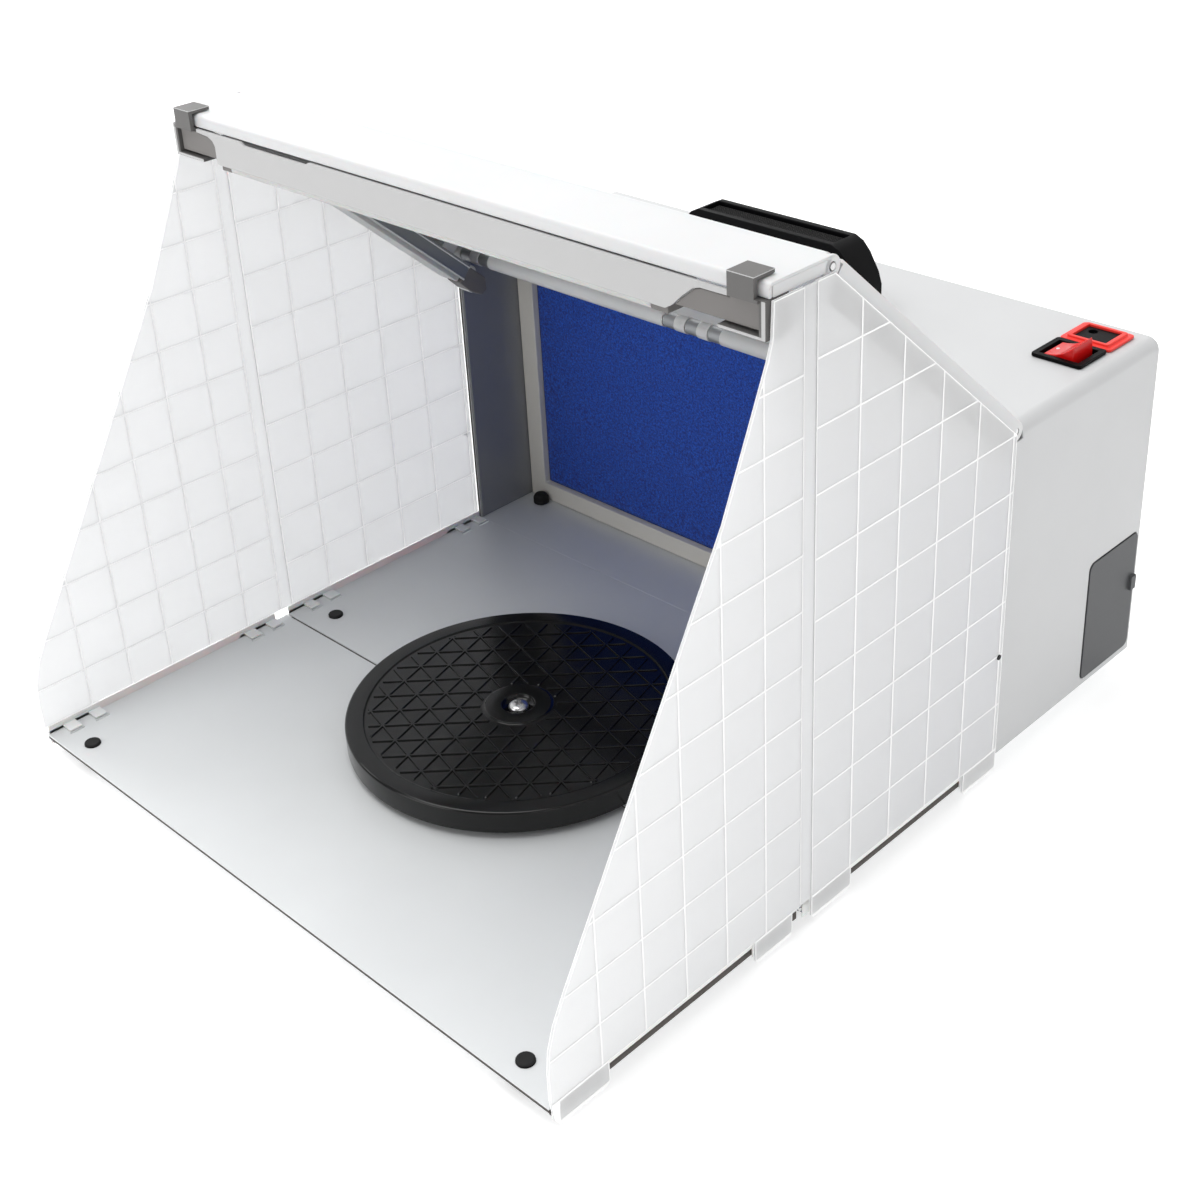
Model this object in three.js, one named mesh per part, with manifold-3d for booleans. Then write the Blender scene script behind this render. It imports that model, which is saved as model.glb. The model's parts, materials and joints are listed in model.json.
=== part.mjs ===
// Portable folding extraction booth: a suitcase-like fan box with a blue filter, a folding
// floor, gridded side screens, a folding roof with an LED bar, and a loose turntable.
// Millimetres, +Z up. Booth coordinates: X across, Y = 0 at the fan box's open front and
// positive to the rear, Z = 0 on the floor's top face. The whole booth is then placed with
// its origin on the ground, under the middle of its outer box.
import * as THREE from 'three';
import { mergeVertices } from 'three/addons/utils/BufferGeometryUtils.js';
import Module from 'manifold-3d';

const wasm = await Module();
wasm.setup();

// Driving dimensions
const HALF_W = 235; // fan box and roof
const BOX_DEPTH = 160;
const BOX_TOP = 222;
const SHELL = 1.5;
const FLOOR_HALF_W = 234;
const FLOOR_HEM = 3;
const FLOOR_SHEET = 1.4;
const FLOOR_FRONT = -379;
const FOLD_Y = -187.3; // floor hinge
const FOLD_Z = -1.3;
const GROUND = -14; // below the floor's top face
const SCREEN_FRONT = -380;
const SCREEN_IN = 235.6;
const SCREEN_OUT = 237.4;
const HINGE_Y = 3; // roof hinge on the fan box
const HINGE_Z = 218.5;
const RIDGE_Y = -166.7; // roof ridge
const RIDGE_Z = 368.9;
const ROOF_UP = 5.8; // roof's top face above its pivots
const ROOF_SHEET = 1.6;
const ROOF_FLANGE = 7.6;
const ROOF_LIP = 15;
const FLAP_FRONT = -212;
const FILTER_Y = 53;
const FILTER_FRAME = 16;
const FAN_R = 72;
const FAN_Z = 108;
const COLLAR_R = 50;
const COLLAR_END = 177;
const TABLE_X = -5;
const TABLE_Y = -173;
const TABLE_R = 110;
const TABLE_TOP = 19;
const PIN_R = 1.9;
const BORE_R = 2.3;

const SLOPE = Math.atan2(RIDGE_Z - HINGE_Z, HINGE_Y - RIDGE_Y);
const ROOF_LENGTH = Math.hypot(RIDGE_Z - HINGE_Z, HINGE_Y - RIDGE_Y);
const ORIGIN_Y = -(SCREEN_FRONT + COLLAR_END) / 2;

// Joining and cutting
const toSolid = (geometry) => {
  const g = geometry.clone();
  g.deleteAttribute('normal');
  g.deleteAttribute('uv');
  const merged = mergeVertices(g, 1e-4);
  return new wasm.Manifold(new wasm.Mesh({
    numProp: 3,
    vertProperties: new Float32Array(merged.attributes.position.array),
    triVerts: new Uint32Array(merged.index.array),
  }));
};

const toGeometry = (solid) => {
  const mesh = solid.getMesh();
  const points = new Float32Array((mesh.vertProperties.length / mesh.numProp) * 3);
  for (let i = 0; i < points.length / 3; i += 1) {
    points.set(mesh.vertProperties.slice(i * mesh.numProp, i * mesh.numProp + 3), i * 3);
  }
  const indexed = new THREE.BufferGeometry();
  indexed.setAttribute('position', new THREE.BufferAttribute(points, 3));
  indexed.setIndex(new THREE.BufferAttribute(new Uint32Array(mesh.triVerts), 1));
  const flat = indexed.toNonIndexed();
  flat.computeVertexNormals();
  return flat;
};

const join = (...pieces) => toGeometry(
  pieces.map(toSolid).reduce((whole, piece) => whole.add(piece)),
);

const cut = (from, ...tools) => toGeometry(
  tools.map(toSolid).reduce((whole, tool) => whole.subtract(tool), toSolid(from)),
);

// Shapes
const box = (x0, x1, y0, y1, z0, z1) => {
  const [left, right] = [Math.min(x0, x1), Math.max(x0, x1)];
  const g = new THREE.BoxGeometry(right - left, y1 - y0, z1 - z0);
  return g.translate((left + right) / 2, (y0 + y1) / 2, (z0 + z1) / 2);
};

const outline = (points, holes = []) => {
  const shape = new THREE.Shape(points.map(([u, v]) => new THREE.Vector2(u, v)));
  holes.forEach((hole) => {
    shape.holes.push(new THREE.Path(hole.map(([u, v]) => new THREE.Vector2(u, v))));
  });
  return shape;
};

const circle = (u, v, r, count = 24) => Array.from({ length: count }, (_, i) => {
  const a = (i / count) * 2 * Math.PI;
  return [u + r * Math.cos(a), v + r * Math.sin(a)];
});

const extrude = (shape, depth) => new THREE.ExtrudeGeometry(shape, {
  depth, bevelEnabled: false, curveSegments: 6,
});

const basis = (u, v, w) => new THREE.Matrix4().makeBasis(
  new THREE.Vector3(...u), new THREE.Vector3(...v), new THREE.Vector3(...w),
);

// An outline in (y, z) made thick from x0 to x1.
const slabX = (points, x0, x1, holes) => {
  const [left, right] = [Math.min(x0, x1), Math.max(x0, x1)];
  const g = extrude(outline(points, holes), right - left);
  return g.applyMatrix4(basis([0, 1, 0], [0, 0, 1], [1, 0, 0])).translate(left, 0, 0);
};

// An outline in (x, z) made thick from y0 to y1.
const slabY = (points, y0, y1, holes) => {
  const g = extrude(outline(points, holes), y1 - y0);
  return g.applyMatrix4(basis([1, 0, 0], [0, 0, 1], [0, -1, 0])).translate(0, y1, 0);
};

// An outline in (x, y) made thick from z0 to z1.
const slabZ = (points, z0, z1, holes) => (
  extrude(outline(points, holes), z1 - z0).translate(0, 0, z0)
);

const rodX = (x0, x1, y, z, r, count = 24) => slabX(circle(y, z, r, count), x0, x1);
const rodY = (y0, y1, x, z, r, count = 24) => slabY(circle(x, z, r, count), y0, y1);
const rodZ = (z0, z1, x, y, r, count = 24) => slabZ(circle(x, y, r, count), z0, z1);

// A turned piece: profile in (radius, height), axis +Z at (x, y).
const turned = (profile, x, y, count = 48) => {
  const points = profile.map(([r, z]) => new THREE.Vector2(r, z));
  const g = new THREE.LatheGeometry(points, count);
  return g.rotateX(Math.PI / 2).translate(x, y, 0);
};

const roundedRect = (u0, u1, v0, v1, r, steps = 4) => {
  const corners = [[u1 - r, v0 + r, -90], [u1 - r, v1 - r, 0], [u0 + r, v1 - r, 90], [u0 + r, v0 + r, 180]];
  return corners.flatMap(([u, v, start]) => Array.from({ length: steps + 1 }, (_, i) => {
    const a = ((start + (90 * i) / steps) * Math.PI) / 180;
    return [u + r * Math.cos(a), v + r * Math.sin(a)];
  }));
};

const arc = (u, v, r, from, to, steps) => Array.from({ length: steps + 1 }, (_, i) => {
  const a = ((from + ((to - from) * i) / steps) * Math.PI) / 180;
  return [u + r * Math.cos(a), v + r * Math.sin(a)];
});

// Materials
const paint = (color, roughness, metalness = 0, opacity = 1) => new THREE.MeshStandardMaterial({
  color, roughness, metalness, opacity, transparent: opacity < 1,
});
const whitePaint = paint(0xf1f2f2, 0.45);
const greySheet = paint(0xc9ced1, 0.38, 0.5);
const darkWall = paint(0x55585c, 0.5, 0.2);
const steel = paint(0xc8cacc, 0.25, 0.9);
const zinc = paint(0x9fa3a6, 0.5, 0.6);
const frosted = paint(0xf4f6f8, 0.35, 0, 0.5);
const hookPlastic = paint(0xf2f0ec, 0.4, 0, 0.75);
const roofWhite = paint(0xf6f7f8, 0.4);
const lampGrey = paint(0xd4d5d6, 0.45);
const capGrey = paint(0x7c7772, 0.5);
const trayGrey = paint(0x8d9192, 0.45);
const diffuser = paint(0xe6e7e6, 0.35, 0, 0.8);
const frameBeige = paint(0xbdb9ae, 0.6);
const filterBlue = paint(0x12308f, 0.95);
const blackPlastic = paint(0x1b1c1e, 0.42);
const blackRubber = paint(0x101112, 0.8);
const tableBlack = paint(0x1f1e1d, 0.35);
const redPlastic = paint(0xd02520, 0.3);
const doorGrey = paint(0x4d5054, 0.55);
const fanGrey = paint(0x2c2e31, 0.5);

const booth = new THREE.Group();
booth.position.set(0, ORIGIN_Y, -GROUND);

// Pieces of the sloping roof: local y runs down the slope, from 0 at the hinge to
// -ROOF_LENGTH at the ridge, and local z is square to the slope.
const slope = new THREE.Group();
slope.position.set(0, HINGE_Y, HINGE_Z);
slope.rotation.x = -SLOPE;
booth.add(slope);

const place = (parent, name, geometry, material) => {
  const mesh = new THREE.Mesh(geometry, material);
  mesh.name = name;
  parent.add(mesh);
};
const add = (name, geometry, material) => place(booth, name, geometry, material);

// ---------------------------------------------------------------- fan box
const shellOutside = [
  [-HALF_W, -FLOOR_HEM], [HALF_W, -FLOOR_HEM],
  ...arc(HALF_W - 8, BOX_TOP - 8, 8, 0, 90, 4),
  ...arc(8 - HALF_W, BOX_TOP - 8, 8, 90, 180, 4),
];
const innerHalf = HALF_W - SHELL;
const innerTop = BOX_TOP - SHELL;
const shellInside = [
  [-innerHalf, -20], [innerHalf, -20],
  ...arc(innerHalf - 6.5, innerTop - 6.5, 6.5, 0, 90, 4),
  ...arc(6.5 - innerHalf, innerTop - 6.5, 6.5, 90, 180, 4),
];
const DOOR = { y0: 100, y1: 157.4, z0: 2, z1: 88 };
const SWITCH = { x0: 188, x1: 222, y0: 89, y1: 120 };
const SOCKET = { x0: 188, x1: 223, y0: 121, y1: 151 };
add('housing_shell', cut(
  slabY(shellOutside, 0, BOX_DEPTH),
  slabY(shellInside, -1, BOX_DEPTH + 1),
  box(-HALF_W - 1, HALF_W + 1, -1, 9.4, 212.2, BOX_TOP + 1),
  slabX(roundedRect(DOOR.y0 - 0.6, DOOR.y1 + 0.6, DOOR.z0 - 0.6, DOOR.z1 + 0.6, 5), 230, 240),
  box(SWITCH.x0 + 2.4, SWITCH.x1 - 2.4, SWITCH.y0 + 2, SWITCH.y1 - 2, 215, 230),
  box(SOCKET.x0 + 5, SOCKET.x1 - 5, SOCKET.y0 + 4, SOCKET.y1 - 4, 215, 230),
), whitePaint);

add('rear_panel', slabY(
  [
    [-233.1, 0.4], [233.1, 0.4],
    ...arc(226.6, 213.6, 6.5, 0, 90, 3),
    ...arc(-226.6, 213.6, 6.5, 90, 180, 3),
  ],
  BOX_DEPTH - 1.6, BOX_DEPTH,
  [circle(0, FAN_Z, COLLAR_R + 1, 32)],
), whitePaint);

add('recess_liner', join(
  box(-232.9, -231.6, 0.6, 83, 0.4, 211.8),
  box(231.6, 232.9, 0.6, 83, 0.4, 211.8),
  box(-232.9, -231.6, 10, 83, 211, 214.3),
  box(231.6, 232.9, 10, 83, 211, 214.3),
  box(-232.9, 232.9, 10, 83, 213, 214.3),
), darkWall);

add('filter_frame', cut(
  box(-231.2, 231.2, FILTER_Y, FILTER_Y + 23, 0.4, 212.2),
  box(-231.2 + FILTER_FRAME, 231.2 - FILTER_FRAME, 40, 90, 14.5, 198.5),
), frameBeige);
add('filter_pad', box(-214.8, 214.8, FILTER_Y + 4, FILTER_Y + 21, 14.9, 198.1), filterBlue);

const guardBars = [];
for (let i = 0; i <= 10; i += 1) {
  guardBars.push(box(-230 + i * 45.7, -227 + i * 45.7, 77, 78.6, 1, 211));
}
for (let i = 0; i <= 4; i += 1) {
  guardBars.push(box(-230, 230, 77, 78.6, 1 + i * 51.75, 4 + i * 51.75));
}
add('filter_guard', join(...guardBars), zinc);

// Fan: shroud plate with a ring, rotor, motor on a spider, outlet duct and its guard
add('fan_shroud', join(
  slabY([[-231, 0.5], [231, 0.5], [231, 212], [-231, 212]], 84, 85.6, [circle(0, FAN_Z, FAN_R, 32)]),
  slabY(circle(0, FAN_Z, FAN_R + 2.5, 32), 84, 124, [circle(0, FAN_Z, FAN_R, 32)]),
), zinc);

const blade = (turn) => {
  const g = new THREE.BoxGeometry(48, 2.2, 30);
  g.rotateX(0.9).translate(44, 0, 0).rotateY(turn);
  return g.translate(0, 106, FAN_Z);
};
add('fan_rotor', join(
  rodY(92, 120, 0, FAN_Z, 25, 28),
  ...Array.from({ length: 7 }, (_, i) => blade((i * 2 * Math.PI) / 7)),
), fanGrey);

const strut = (turn) => {
  const g = new THREE.BoxGeometry(60, 4, 6);
  return g.translate(46, 0, 0).rotateY(turn).translate(0, 128, FAN_Z);
};
add('fan_motor', join(
  rodY(122.5, 146, 0, FAN_Z, 21, 28),
  slabY(circle(0, FAN_Z, 79, 32), 126, 130, [circle(0, FAN_Z, 73, 32)]),
  ...[0.785, 2.356, 3.927, 5.498].map(strut),
), blackPlastic);

const guardRing = (r) => slabY(circle(0, FAN_Z, r, 28), 168, 170, [circle(0, FAN_Z, r - 1.8, 28)]);
add('outlet_duct', join(
  new THREE.LatheGeometry([
    [79, 131], [79, 133], [COLLAR_R, 153], [COLLAR_R, COLLAR_END], [COLLAR_R - 2.4, COLLAR_END],
    [COLLAR_R - 2.4, 152.2], [75, 132.4], [75, 131], [79, 131],
  ].map(([r, y]) => new THREE.Vector2(r, y)), 36).translate(0, 0, FAN_Z),
  guardRing(33),
  guardRing(19),
  box(-48.6, 48.6, 168, 170, FAN_Z - 0.9, FAN_Z + 0.9),
  box(-0.9, 0.9, 168, 170, FAN_Z - 48.6, FAN_Z + 48.6),
), blackPlastic);

// Accessory compartment and its door in the right-hand side wall
add('compartment_tray', cut(
  box(203, 233.2, 96.6, 158.1, 0.4, 91),
  box(204.2, 240, 97.8, 157, 1.6, 89.8),
), darkWall);
add('accessory_door', join(
  slabX(roundedRect(DOOR.y0, DOOR.y1, DOOR.z0, DOOR.z1, 4.6), 233.6, 235.6),
  box(235.4, 237.9, 150.6, 156.4, 47, 57),
), doorGrey);

// Power switch and supply socket on top
add('switch_bezel', cut(
  join(
    slabZ(roundedRect(SWITCH.x0, SWITCH.x1, SWITCH.y0, SWITCH.y1, 2, 3), BOX_TOP + 0.3, BOX_TOP + 2.6),
    box(SWITCH.x0 + 2.8, SWITCH.x1 - 2.8, SWITCH.y0 + 2.4, SWITCH.y1 - 2.4, 200, BOX_TOP + 1),
  ),
  box(SWITCH.x0 + 3.6, SWITCH.x1 - 3.6, SWITCH.y0 + 4, SWITCH.y1 - 4, 208, 240),
), blackPlastic);
const rockerX = (SWITCH.x0 + SWITCH.x1) / 2;
const rockerY = (SWITCH.y0 + SWITCH.y1) / 2;
add('switch_rocker', slabY([
  [rockerX - 5, 212.6], [rockerX + 5, 212.6], [rockerX + 10.4, 216], [rockerX + 8.8, 232.6],
  [rockerX + 6, 230.2], [rockerX + 2, 227.4], [rockerX - 3, 225.2], [rockerX - 8, 224.2],
  [rockerX - 11, 224], [rockerX - 10.4, 216],
], rockerY - 11, rockerY + 11), redPlastic);

add('socket_bezel', cut(
  join(
    slabZ(roundedRect(SOCKET.x0, SOCKET.x1, SOCKET.y0, SOCKET.y1, 2.4, 3), BOX_TOP + 0.3, BOX_TOP + 2.2),
    slabZ(roundedRect(SOCKET.x0 + 3, SOCKET.x1 - 3, SOCKET.y0 + 2.6, SOCKET.y1 - 2.6, 2, 3), BOX_TOP + 1, BOX_TOP + 3.8),
  ),
  box(SOCKET.x0 + 6, SOCKET.x1 - 6, SOCKET.y0 + 5, SOCKET.y1 - 5, 215, 240),
), redPlastic);
add('socket_insert', cut(
  box(SOCKET.x0 + 6.4, SOCKET.x1 - 6.4, SOCKET.y0 + 5.4, SOCKET.y1 - 5.4, 206, BOX_TOP + 2.4),
  rodZ(210, 240, 200.5, 139.6, 3, 16),
), blackPlastic);

// Carrying handle: an arch with a grip pad let into its top
add('carry_handle', cut(
  slabY([
    [-77.5, 222.4], [-57, 222.4], [-50, 257.4], [50, 257.4], [57, 222.4], [77.5, 222.4], [77.5, 242], [75, 250],
    [68, 262], [62.5, 268], [56, 271], [-56, 271], [-62.5, 268], [-68, 262], [-75, 250], [-77.5, 242],
  ], 63, 89),
  box(-55, 55, 68, 84, 265.6, 280),
), blackPlastic);
add('handle_grip', box(-54.6, 54.6, 68.4, 83.6, 266, 268.8), blackRubber);

// Rubber pegs that hold the filter's foot
[['left', -214], ['right', 214]].forEach(([side, x]) => {
  const peg = [[0, 0.4], [6, 0.4], [6, 5.4], [4.4, 8], [0, 8.8]];
  add(`filter_peg_${side}`, turned(peg, x, 46.4, 18), blackRubber);
});

// ---------------------------------------------------------------- roof hinge on the box
const KNUCKLES = [-223, -204, -25, -5.5, 14, 204, 223];
const knuckleW = 4.8;
const railPieces = [box(-228, 228, 9.8, 22, 214.7, 220.1)];
KNUCKLES.forEach((x) => {
  railPieces.push(rodX(x - knuckleW, x + knuckleW, HINGE_Y, HINGE_Z, 5.4, 18));
  railPieces.push(box(x - knuckleW, x + knuckleW, HINGE_Y, 12, 215.4, 219.6));
});
add('roof_hinge_rail', cut(
  join(...railPieces),
  ...KNUCKLES.map((x) => rodX(x - 6, x + 6, HINGE_Y, HINGE_Z, BORE_R, 16)),
), zinc);
add('roof_hinge_pin', rodX(-234.4, 234.4, HINGE_Y, HINGE_Z, PIN_R, 16), steel);

// ---------------------------------------------------------------- floor
const hemmed = (x, y0, y1, pocketY0, pocketY1) => cut(
  box(-x, x, y0, y1, -FLOOR_HEM, 0),
  box(-x + 2, x - 2, pocketY0, pocketY1, -FLOOR_HEM - 1, -FLOOR_SHEET),
);
const FEET_REAR = [[-206, -165], [206, -165], [-188, 140], [188, 140]];
const FEET_FRONT = [[-203, -365], [203, -365]];
const footHole = ([x, y]) => rodZ(-20, 5, x, y, 3.4, 16);
const REAR_EDGE = -185.7;
add('floor_rear', cut(
  join(
    hemmed(FLOOR_HALF_W, REAR_EDGE, -0.4, REAR_EDGE + 2, 10),
    hemmed(innerHalf - 0.5, -0.5, BOX_DEPTH - 2, -10, BOX_DEPTH - 4),
  ),
  ...FEET_REAR.map(footHole),
), greySheet);
add('floor_front', cut(
  hemmed(FLOOR_HALF_W, FLOOR_FRONT, FOLD_Y - 0.3, FLOOR_FRONT + 2, FOLD_Y - 2.3),
  box(228, 240, FOLD_Y - 1.9, FOLD_Y + 1, -5, 1),
  box(-240, -228, FOLD_Y - 1.9, FOLD_Y + 1, -5, 1),
  ...FEET_FRONT.map(footHole),
), greySheet);
add('floor_hinge_pin_left', rodX(-235, -228.6, FOLD_Y, FOLD_Z, 1.3, 14), steel);
add('floor_hinge_pin_right', rodX(228.6, 235, FOLD_Y, FOLD_Z, 1.3, 14), steel);

const foot = ([x, y]) => turned([
  [0, GROUND], [6.4, GROUND], [7.2, GROUND + 1.2], [7.2, -1.8], [3, -1.8], [3, 0.4],
  [5.25, 0.4], [5.25, 1.2], [4.4, 1.8], [0, 1.8],
], x, y, 18);
[['front_left', 0], ['front_right', 1]].forEach(([where, i]) => {
  add(`foot_${where}`, foot(FEET_FRONT[i]), blackRubber);
});
[['middle_left', 0], ['middle_right', 1], ['rear_left', 2], ['rear_right', 3]].forEach(([where, i]) => {
  add(`foot_${where}`, foot(FEET_REAR[i]), blackRubber);
});

// ---------------------------------------------------------------- side screens
const rearTop = (y) => HINGE_Z + Math.tan(SLOPE) * (HINGE_Y - y) - 2.8;
const STRIP_Y0 = -187;
const STRIP_Y1 = -180.6;
const TAB_Z = -11;
const tab = (y0, y1) => [[y0, -1], [y0, TAB_Z + 2], [y0 + 2, TAB_Z], [y1 - 2, TAB_Z], [y1, TAB_Z + 2], [y1, -1]];
const flatTop = RIDGE_Z + ROOF_UP - ROOF_FLANGE - 0.5;
const ridgeFoot = HINGE_Y - (flatTop + 2.8 - HINGE_Z) / Math.tan(SLOPE);
const rearScreen = [
  [-181.4, -1], ...tab(-180.2, -145), ...tab(-35, -0.6).slice(0, 5),
  [-0.6, rearTop(-0.6)], [ridgeFoot, flatTop], [-181.4, flatTop],
];
const SCREEN_REAR_EDGE = -189.8;
const frontScreen = [
  [SCREEN_FRONT + 1.6, -6], [SCREEN_FRONT + 5, TAB_Z], [-342, TAB_Z], [-340, TAB_Z + 2], [-340, -1],
  ...tab(-228, -197), [SCREEN_REAR_EDGE, -1], [SCREEN_REAR_EDGE, flatTop], [-211.6, flatTop],
  [-212.6, 348], [-216, 338], [-226, 316], [-248, 268], [-288, 199.5], [-328, 131], [-365, 68.5],
  [-374, 52], [-378.4, 39], [SCREEN_FRONT, 25], [SCREEN_FRONT, 8],
];
const TONGUES = {
  rear: [[-172, -164], [-155, -146], [-27, -19], [-10, -2]],
  front: [[-368, -359], [-349, -340.5], [-224, -215], [-206, -197.5]],
};
const WEBS = { rear: [[-185.4, -145], [-35, -1]], front: [[-378, -340], [-228, -197]] };
const clips = (end, s) => join(
  box(s * 234.3, s * 235, WEBS[end][0][0], WEBS[end][1][1], -1, 1.8),
  ...WEBS[end].map(([y0, y1]) => box(s * 234.3, s * 235, y0, y1, -8, 1.8)),
  ...TONGUES[end].map(([y0, y1]) => box(s * 225, s * 234.8, y0, y1, 0.4, 1.8)),
);
[['left', -1], ['right', 1]].forEach(([side, s]) => {
  add(`screen_rear_${side}`, join(
    slabX(rearScreen, s * SCREEN_IN, s * SCREEN_OUT),
    box(s * 235.3, s * 238, STRIP_Y0, STRIP_Y1, TAB_Z + 1, flatTop),
  ), frosted);
  add(`screen_front_${side}`, slabX(frontScreen, s * SCREEN_IN, s * SCREEN_OUT), frosted);
  add(`clips_rear_${side}`, clips('rear', s), hookPlastic);
  add(`clips_front_${side}`, clips('front', s), hookPlastic);
});

// ---------------------------------------------------------------- sloping rear roof
const roofEnd = -(ROOF_LENGTH - 4.6);
const plateUnder = ROOF_UP - ROOF_SHEET;
const flangeUnder = ROOF_UP - ROOF_FLANGE;
const lipUnder = ROOF_UP - ROOF_LIP;
const rearRoofPieces = [
  box(-HALF_W, HALF_W, roofEnd, 0, plateUnder, ROOF_UP),
  rodX(-234.6, 234.6, 0, 0, ROOF_UP, 24),
];
[-1, 1].forEach((s) => {
  rearRoofPieces.push(box(s * 212, s * 224, -38, -26, -9.6, ROOF_UP - 0.5)); // lamp bosses
  rearRoofPieces.push(box(s * 212, s * 224, -164, -152, -9.6, ROOF_UP - 0.5));
  rearRoofPieces.push(box(s * 232.6, s * HALF_W, -(ROOF_LENGTH - 6.5), 0, flangeUnder, ROOF_UP));
  rearRoofPieces.push(slabX([
    [-7, ROOF_UP], [roofEnd, ROOF_UP], [-ROOF_LENGTH, 3.7], ...arc(-ROOF_LENGTH, 0, 3.7, 90, 270, 6),
    [-ROOF_LENGTH + 3, lipUnder], [-9, lipUnder], [-7, lipUnder + 3],
  ], s * 231, s * 232.7));
});
place(slope, 'roof_rear', cut(
  join(...rearRoofPieces),
  rodX(-240, 240, 0, 0, BORE_R, 16),
  rodX(-240, 240, -ROOF_LENGTH, 0, BORE_R, 16),
  ...KNUCKLES.map((x) => box(x - knuckleW - 0.4, x + knuckleW + 0.4, -7, 7, -8, 8)),
), roofWhite);
place(slope, 'ridge_pin', rodX(-235.2, 235.2, -ROOF_LENGTH, 0, PIN_R, 16), steel);

// Side lamps under the sloping roof: tray, diffuser and cranked end
[['left', -1], ['right', 1]].forEach(([side, s]) => {
  place(slope, `side_lamp_tray_${side}`, cut(
    box(s * 204.6, s * 227.4, -178, -12.4, -21.6, -10),
    box(s * 206.4, s * 225.6, -176, -14.4, -30, -17),
  ), trayGrey);
  place(slope, `side_lamp_diffuser_${side}`, box(s * 206.8, s * 225.2, -175.4, -15, -24.8, -17.6), diffuser);
  place(slope, `side_lamp_end_${side}`, slabX([
    [-12, -10.8], [8, -10.8], [15, -17.5], [13, -23], [2, -25.4], [-12, -24.6],
  ], s * 207, s * 222), capGrey);
});

// ---------------------------------------------------------------- front roof flap and LED bar
const flapTop = RIDGE_Z + ROOF_UP;
const flapUnder = flapTop - ROOF_SHEET;
const flapFlange = flapTop - ROOF_FLANGE;
const flapPieces = [
  box(-HALF_W, HALF_W, FLAP_FRONT, RIDGE_Y, flapUnder, flapTop),
  box(-HALF_W, HALF_W, FLAP_FRONT, FLAP_FRONT + 1.6, flapFlange, flapTop),
  rodX(-230.6, 230.6, RIDGE_Y, RIDGE_Z, ROOF_UP, 24),
];
[-1, 1].forEach((s) => {
  flapPieces.push(box(s * 233.1, s * HALF_W, FLAP_FRONT, RIDGE_Y, flapFlange, flapTop));
  flapPieces.push(rodX(s * 233.1, s * HALF_W, RIDGE_Y, RIDGE_Z, ROOF_UP, 24));
});
add('roof_front', cut(
  join(...flapPieces),
  rodX(-240, 240, RIDGE_Y, RIDGE_Z, BORE_R, 16),
), roofWhite);

// The bar's grey body runs through with an S-shaped right-hand end; a light cover faces it.
const COVER_TOP = 366.4;
add('lamp_bar_body', join(
  slabY([
    [-193.5, 347.6], [172, 347.6], [176.2, 350], [182.2, 355.7], [189.8, 361.9], [194.5, 363.3], [211.5, 363.5],
    [211.5, COVER_TOP], [-100, COVER_TOP], [-104, 364.7], [-163, 364.7], [-166, COVER_TOP], [-211.5, COVER_TOP],
    [-211.5, 364.3], [-200, 363.5], [-195.6, 361.7], [-193.5, 358.6],
  ], -213.5, -211.7),
  slabX([
    [-211.8, 348.6], [-211.8, 364.6], [-192, 364.6], [-192, 349.6], [-194, 347.9],
  ], -193, 173.5),
), lampGrey);
add('lamp_bar_diffuser', slabX([
  [-210.7, 344.4], [-209.3, 342.9], [-196, 342.9], [-195, 343.9], [-195, 347.4], [-210.7, 347.4],
], -184, 160), diffuser);
add('lamp_bar_end_left', slabY([
  [-229.4, 350.6], [-194, 350.6], [-194, 358.4], [-196, 361.2], [-200.3, 362.9], [-211.9, 363.7], [-212.2, 364.2],
  [-229.4, 364.2],
], -212.6, -204.5), capGrey);
add('lamp_bar_end_right', slabY([
  [177.4, 350.6], [229.4, 350.6], [229.4, 364.2], [212.2, 364.2], [211.8, 363], [194.4, 362.9], [190.2, 361.5],
  [182.7, 355.3],
], -212.6, -204.5), capGrey);
[['left', -1], ['right', 1]].forEach(([side, s]) => {
  add(`lamp_holder_${side}`, join(
    box(s * 230.6, s * 234.6, -214.5, -198, 347, 366.7),
    box(s * 213, s * 231, -216, -198, 364.9, 366.7),
    box(s * 206, s * 231, -214.5, -198, 347, 349),
    box(s * 213, s * 229, -216, -213.4, 365, 377.4),
    box(s * 213, s * 229, -216, -201, 375.2, 377.4),
  ), s < 0 ? zinc : capGrey);
});

// ---------------------------------------------------------------- turntable
add('turntable_disc', turned([
  [4.4, 8], [14, 8], [14, 15.4], [106.4, 15.4], [106.4, 4.4], [110, 4.4], [TABLE_R, 17.4],
  [108.2, TABLE_TOP], [98.6, TABLE_TOP], [98.2, 18.3], [97.4, 18.3], [97, TABLE_TOP],
  [22.6, TABLE_TOP], [22.4, 18.2], [21.6, 18.2], [21.4, 19.3], [10.2, 19.3], [9.8, 16.2], [4.4, 16.2], [4.4, 8],
], TABLE_X, TABLE_Y, 64), tableBlack);
add('turntable_screw', turned([
  [0, 8.4], [3.7, 8.4], [3.7, 16.5], [7.7, 16.5], [7.4, 18], [5.6, 19.4], [2.6, 20.1], [0, 20.3],
], TABLE_X, TABLE_Y, 24), steel);
add('turntable_base', turned([
  [0, 3.4], [80, 3.4], [80, 5], [78, 6.2], [18, 6.2], [12, 7.6], [0, 7.6],
], TABLE_X, TABLE_Y, 40), tableBlack);
add('turntable_race', turned([
  [46, 6.6], [52, 6.6], [52, 14.8], [46, 14.8], [46, 6.6],
], TABLE_X, TABLE_Y, 32), steel);
add('turntable_pad', turned([
  [60, 0.4], [72, 0.4], [72, 3.1], [60, 3.1], [60, 0.4],
], TABLE_X, TABLE_Y, 36), blackRubber);

export default booth;
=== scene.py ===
import json
import math

import bmesh
import bpy
from mathutils import Matrix, Vector, noise
from mathutils.geometry import delaunay_2d_cdt


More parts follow.
